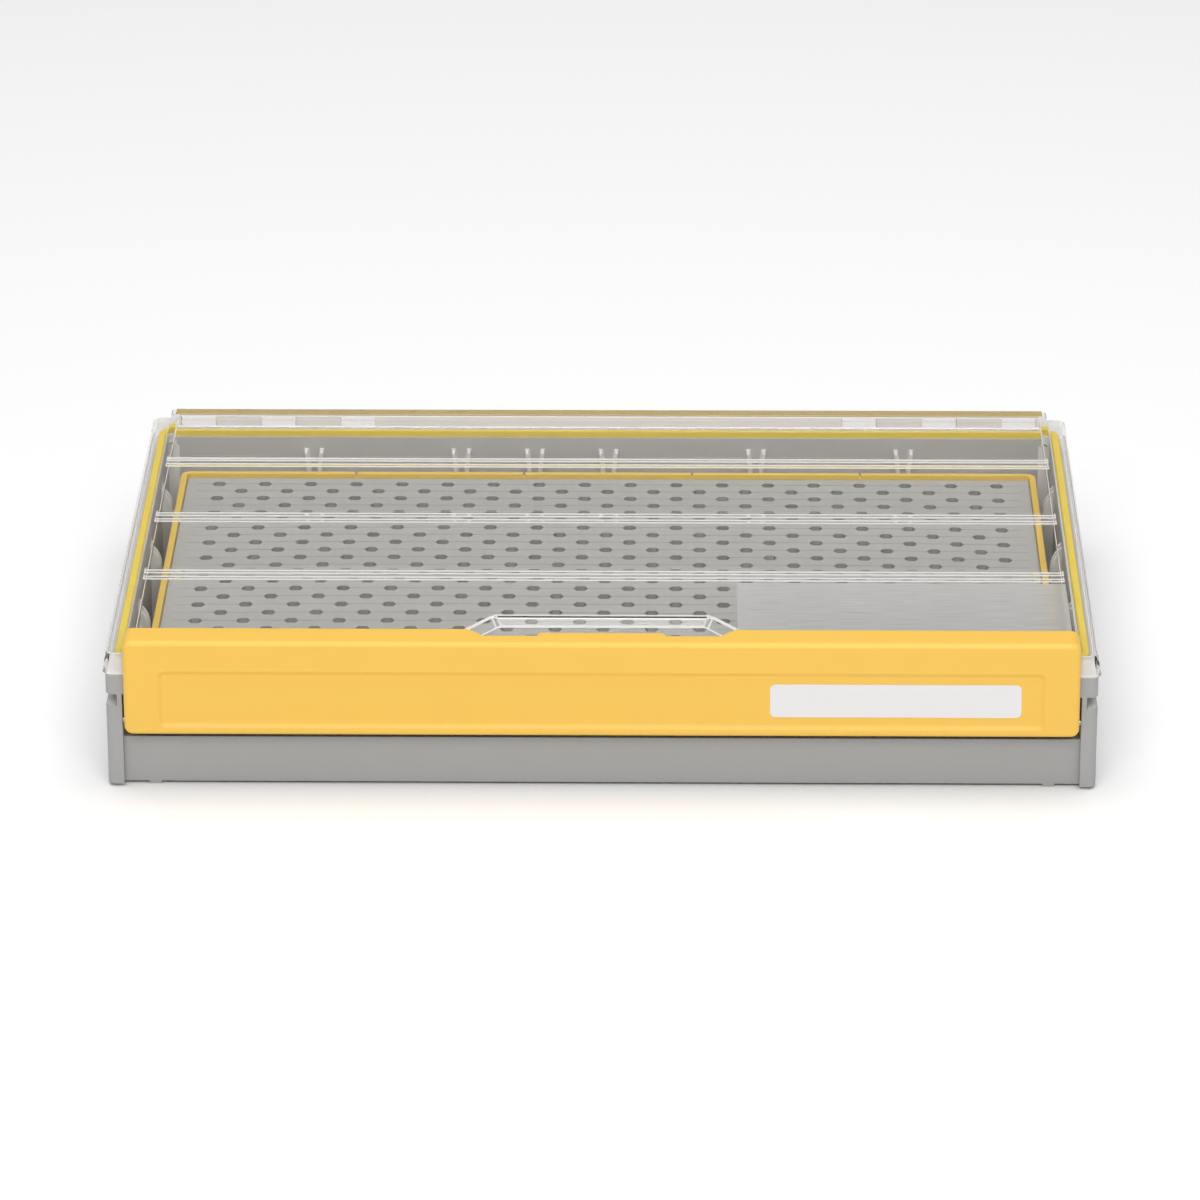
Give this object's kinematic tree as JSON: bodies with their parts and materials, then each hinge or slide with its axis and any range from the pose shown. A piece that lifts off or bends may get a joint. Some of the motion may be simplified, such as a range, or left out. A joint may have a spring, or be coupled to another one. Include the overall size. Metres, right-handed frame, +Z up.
{
  "type": "hook storage box",
  "caption": "Flat hinged storage case for hooks with a clear lid, a full-width front latch, a rim seal and a lift-out tray lined with a perforated mat.",
  "frame": {"origin": "on the ground under the middle of the closed case", "axes": "+X to the case's right, along its length; +Y to the back, where the hinges are; +Z up"},
  "size_m": [0.3556, 0.235, 0.0577],
  "materials": {
    "tub_plastic": "fine satin grey",
    "seal_rubber": "satin yellow-brown",
    "pin_steel": "drawn wire",
    "tray_plastic": "satin yellow",
    "mat_foam": "matt grey closed-cell foam",
    "lid_plastic": "clear polished",
    "latch_plastic": "satin yellow",
    "label_film": "matt white"
  },
  "bodies": {
    "case": {"case_base": "tub_plastic", "rim_seal": "seal_rubber", "hinge_pin_left": "pin_steel", "hinge_pin_right": "pin_steel", "latch_pin_left": "pin_steel", "latch_pin_right": "pin_steel", "hook_tray": "tray_plastic", "hook_mat": "mat_foam"},
    "lid": {"lid": "lid_plastic"},
    "latch": {"latch": "latch_plastic", "write_on_label": "label_film"}
  },
  "joints": [
    {"name": "lid_hinge", "type": "hinge", "parent": "case", "child": "lid", "pos_m": [0, 0.1143, 0.0439], "axis": [-1, 0, 0], "range_deg": [0, 110]},
    {"name": "latch_pivot", "type": "hinge", "parent": "case", "child": "latch", "pos_m": [0, -0.112, 0.0255], "axis": [1, 0, 0], "range_deg": [0, 100]}
  ]
}
